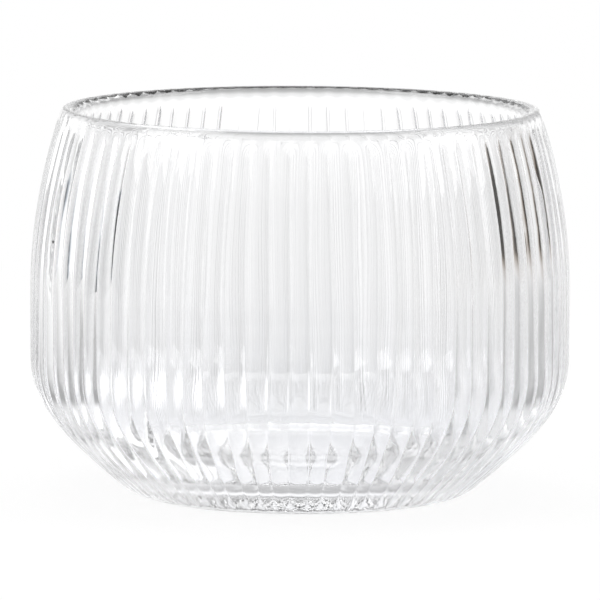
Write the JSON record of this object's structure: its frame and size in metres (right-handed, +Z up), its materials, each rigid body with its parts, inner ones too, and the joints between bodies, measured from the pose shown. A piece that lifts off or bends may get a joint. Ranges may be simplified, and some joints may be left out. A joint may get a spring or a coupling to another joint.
{
  "type": "tea glass",
  "caption": "Wide clear glass for tea, ribbed outside and smooth inside, with a plain rounded lip, a barrel wall, a bowl drawn in to a narrow heel and a thick base.",
  "frame": {"origin": "middle of the foot, on the table", "axes": "+Z up along the glass's axis, through the middle of the mouth; -Y towards the picture's camera"},
  "size_m": [0.085, 0.085, 0.0608],
  "materials": {
    "clear_glass": "clear moulded soda-lime glass, fire-polished"
  },
  "bodies": {
    "root": {"glass": "clear_glass"}
  },
  "joints": []
}
